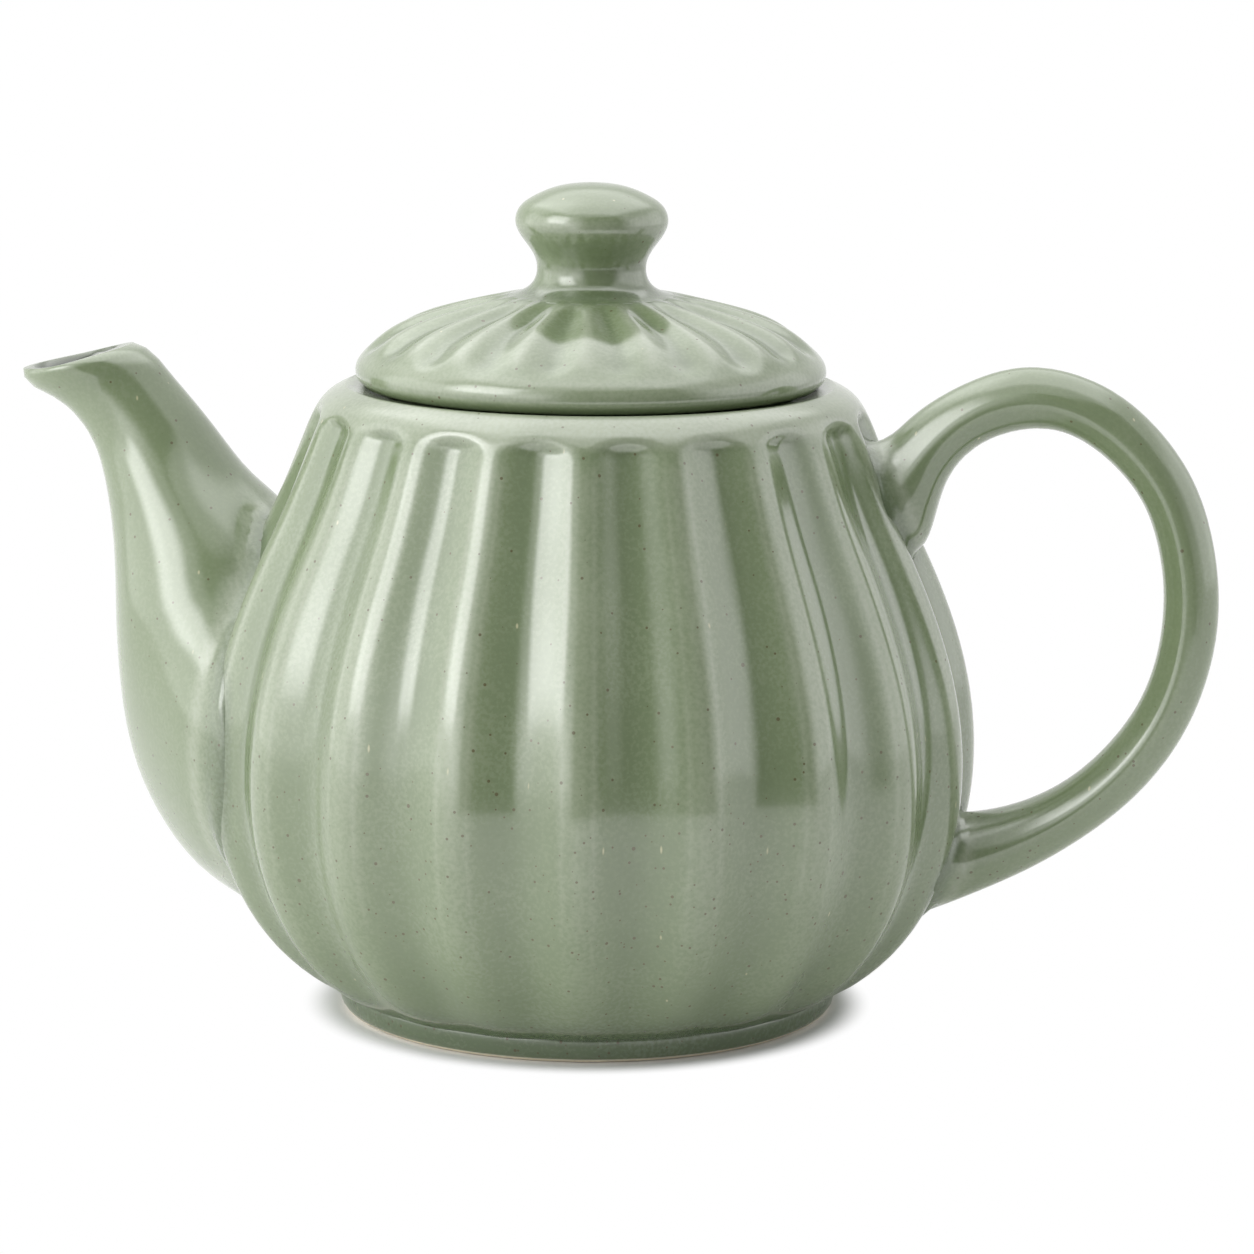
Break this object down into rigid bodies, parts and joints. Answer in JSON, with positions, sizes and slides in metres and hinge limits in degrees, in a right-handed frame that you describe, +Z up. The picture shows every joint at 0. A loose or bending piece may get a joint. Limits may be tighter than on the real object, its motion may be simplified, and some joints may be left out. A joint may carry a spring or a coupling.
{
  "type": "teapot",
  "caption": "Fluted round teapot in glossy celadon glaze, with a curved spout, a loop handle and a domed lift-off lid with a mushroom knob.",
  "frame": {"origin": "on the table, midway between the spout's lip and the handle's outer side, in the plane of spout and handle", "axes": "+X from the spout towards the handle, +Z up along the pot's axis, +Y to the side away from the viewer with the spout on the left"},
  "size_m": [0.2256, 0.1432, 0.1548],
  "materials": {
    "celadon_glaze": "glossy sage-green celadon glaze with fine brown specks",
    "inner_glaze": "thinner glossy celadon glaze",
    "foot_clay": "glazed band over a bare cream clay rim"
  },
  "bodies": {
    "pot": {"pot_body": "celadon_glaze", "lid_seat": "inner_glaze", "foot_ring": "foot_clay", "spout": "celadon_glaze", "strainer": "inner_glaze", "handle": "celadon_glaze"},
    "lid": {"lid_dome": "celadon_glaze", "lid_flange": "inner_glaze", "lid_knob": "celadon_glaze"}
  },
  "joints": [
    {"name": "lid_lift", "type": "slide", "parent": "pot", "child": "lid", "axis": [0, 0, 1], "range_m": [0, 0.06]}
  ]
}
